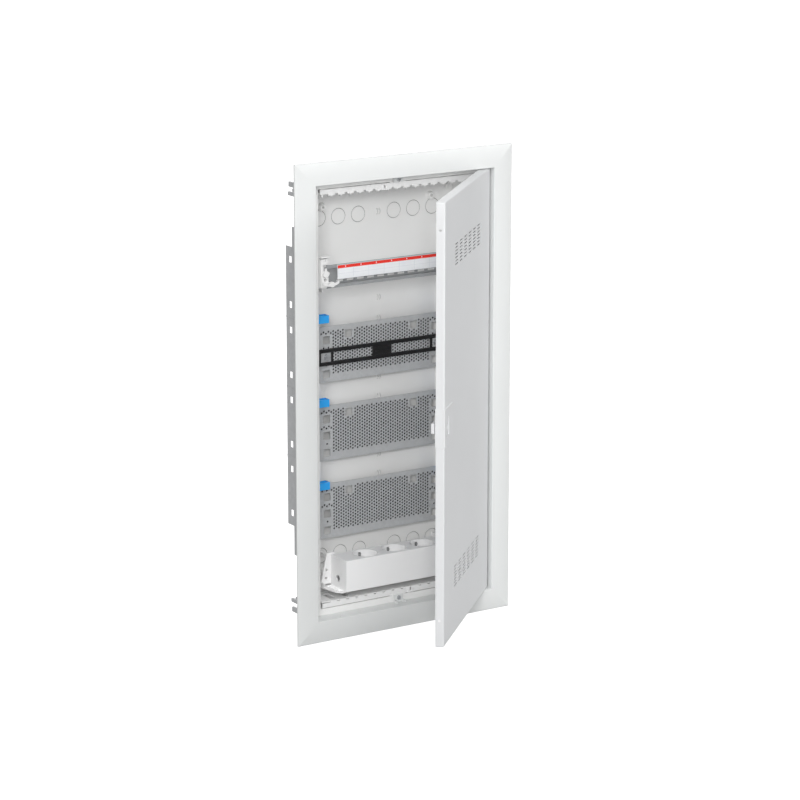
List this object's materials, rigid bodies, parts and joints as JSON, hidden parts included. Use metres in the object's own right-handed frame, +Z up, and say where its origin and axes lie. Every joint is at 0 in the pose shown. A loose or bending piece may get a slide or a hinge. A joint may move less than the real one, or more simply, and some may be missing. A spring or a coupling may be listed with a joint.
{
  "type": "communication distribution cabinet",
  "caption": "Flush wall cabinet with a convex trim frame, a hinged vented door, a box with a top-hat rail, perforated mounting plates and a socket strip, and side brackets.",
  "frame": {"origin": "centre of the wall box's flat rear face", "axes": "+Y into the wall, +Z up along the cabinet's height, +X to the hinge side of the door"},
  "size_m": [0.384, 0.298, 0.734],
  "materials": {
    "box_plastic": "fine moulded satin",
    "frame_plastic": "smooth satin",
    "inner_plastic": "moulded satin",
    "strip_plastic": "moulded satin",
    "rail_steel": "zinc plated",
    "plate_steel": "galvanised, perforated",
    "bracket_steel": "galvanised",
    "screw_steel": "bright zinc",
    "label_plastic": "smooth",
    "label_red": "printed",
    "catch_blue": "moulded",
    "strap_black": "moulded",
    "contact_nickel": "stamped, nickel plated",
    "door_paint": "fine-textured powder coat",
    "latch_plastic": "smooth satin"
  },
  "bodies": {
    "cabinet": {"wall_box": "box_plastic", "trim_frame": "frame_plastic", "frame_clamp_top": "frame_plastic", "frame_clamp_bottom": "frame_plastic", "frame_clamp_screws": "screw_steel", "comb_flange_top": "inner_plastic", "comb_flange_bottom": "inner_plastic", "side_upright_left": "inner_plastic", "side_upright_right": "inner_plastic", "upright_screws": "screw_steel", "din_rail": "rail_steel", "rail_bracket_left": "inner_plastic", "rail_bracket_right": "inner_plastic", "label_holder": "label_plastic", "label_band": "label_red", "plate_upper": "plate_steel", "plate_middle": "plate_steel", "plate_lower": "plate_steel", "plate_screws": "screw_steel", "device_strap": "strap_black", "strap_anchors": "bracket_steel", "strip_housing": "strip_plastic", "strip_base": "strip_plastic", "socket_left": "strip_plastic", "socket_middle": "strip_plastic", "socket_right": "strip_plastic", "earth_clips": "contact_nickel", "live_busbar": "contact_nickel", "neutral_busbar": "contact_nickel", "earth_bar": "contact_nickel", "strip_bracket_left": "strip_plastic", "strip_bracket_right": "strip_plastic", "strip_screws": "screw_steel", "wall_bracket_left": "bracket_steel", "wall_bracket_right": "bracket_steel", "bracket_screws": "screw_steel", "claw_screws": "screw_steel", "hinge_plates": "bracket_steel"},
    "door": {"door_panel": "door_paint", "hinge_brackets": "bracket_steel", "hinge_pins": "screw_steel", "latch_housing": "latch_plastic", "latch_spring": "screw_steel"},
    "latch": {"latch_slider": "latch_plastic"},
    "catch_upper_left": {"catch_upper_left": "catch_blue"},
    "catch_middle_left": {"catch_middle_left": "catch_blue"},
    "catch_lower_left": {"catch_lower_left": "catch_blue"},
    "catch_upper_right": {"catch_upper_right": "catch_blue"},
    "catch_middle_right": {"catch_middle_right": "catch_blue"},
    "catch_lower_right": {"catch_lower_right": "catch_blue"},
    "rail_knob_left": {"rail_knob_left": "inner_plastic"},
    "rail_knob_right": {"rail_knob_right": "inner_plastic"},
    "rail_lever_left": {"rail_lever_left": "inner_plastic"},
    "rail_lever_right": {"rail_lever_right": "inner_plastic"},
    "strap_stud_left": {"strap_stud_left": "screw_steel"},
    "strap_stud_right": {"strap_stud_right": "screw_steel"},
    "claw_top_left": {"claw_top_left": "bracket_steel"},
    "claw_top_right": {"claw_top_right": "bracket_steel"},
    "claw_bottom_left": {"claw_bottom_left": "bracket_steel"},
    "claw_bottom_right": {"claw_bottom_right": "bracket_steel"}
  },
  "joints": [
    {"name": "door_hinge", "type": "hinge", "parent": "cabinet", "child": "door", "pos_m": [0.1443, -0.0852, 0], "axis": [0, 0, 1], "range_deg": [-44, 76]},
    {"name": "latch_slide", "type": "slide", "parent": "door", "child": "latch", "axis": [0.7193, 0.6947, 0], "range_m": [0, 0.005], "stiffness_N_per_m": 300, "springref_m": -0.003, "deforming": ["latch_spring"]},
    {"name": "catch_upper_left_slide", "type": "slide", "parent": "cabinet", "child": "catch_upper_left", "axis": [0, 0, 1], "range_m": [0, 0.01]},
    {"name": "catch_middle_left_slide", "type": "slide", "parent": "cabinet", "child": "catch_middle_left", "axis": [0, 0, 1], "range_m": [0, 0.01]},
    {"name": "catch_lower_left_slide", "type": "slide", "parent": "cabinet", "child": "catch_lower_left", "axis": [0, 0, 1], "range_m": [0, 0.01]},
    {"name": "catch_upper_right_slide", "type": "slide", "parent": "cabinet", "child": "catch_upper_right", "axis": [0, 0, 1], "range_m": [0, 0.01]},
    {"name": "catch_middle_right_slide", "type": "slide", "parent": "cabinet", "child": "catch_middle_right", "axis": [0, 0, 1], "range_m": [0, 0.01]},
    {"name": "catch_lower_right_slide", "type": "slide", "parent": "cabinet", "child": "catch_lower_right", "axis": [0, 0, 1], "range_m": [0, 0.01]},
    {"name": "rail_knob_left_turn", "type": "hinge", "parent": "cabinet", "child": "rail_knob_left", "pos_m": [-0.131, -0.07, 0.1964], "axis": [0, 1, 0], "range_deg": [0, 90]},
    {"name": "rail_knob_right_turn", "type": "hinge", "parent": "cabinet", "child": "rail_knob_right", "pos_m": [0.131, -0.07, 0.1964], "axis": [0, 1, 0], "range_deg": [-90, 0]},
    {"name": "rail_lever_left_turn", "type": "hinge", "parent": "cabinet", "child": "rail_lever_left", "pos_m": [-0.122, -0.071, 0.1806], "axis": [0, 1, 0], "range_deg": [0, 60]},
    {"name": "rail_lever_right_turn", "type": "hinge", "parent": "cabinet", "child": "rail_lever_right", "pos_m": [0.122, -0.071, 0.1806], "axis": [0, 1, 0], "range_deg": [-60, 0]},
    {"name": "strap_stud_left_turn", "type": "hinge", "parent": "cabinet", "child": "strap_stud_left", "pos_m": [-0.099, -0.02, 0.0565], "axis": [0, 1, 0], "range_deg": [0, 90]},
    {"name": "strap_stud_right_turn", "type": "hinge", "parent": "cabinet", "child": "strap_stud_right", "pos_m": [0.099, -0.02, 0.0565], "axis": [0, 1, 0], "range_deg": [0, 90]},
    {"name": "claw_top_left_turn", "type": "hinge", "parent": "cabinet", "child": "claw_top_left", "pos_m": [-0.15, -0.039, 0.316], "axis": [0, 1, 0], "range_deg": [-90, 0]},
    {"name": "claw_top_right_turn", "type": "hinge", "parent": "cabinet", "child": "claw_top_right", "pos_m": [0.15, -0.039, 0.316], "axis": [0, 1, 0], "range_deg": [0, 90]},
    {"name": "claw_bottom_left_turn", "type": "hinge", "parent": "cabinet", "child": "claw_bottom_left", "pos_m": [-0.15, -0.039, -0.316], "axis": [0, 1, 0], "range_deg": [0, 90]},
    {"name": "claw_bottom_right_turn", "type": "hinge", "parent": "cabinet", "child": "claw_bottom_right", "pos_m": [0.15, -0.039, -0.316], "axis": [0, 1, 0], "range_deg": [-90, 0]}
  ]
}
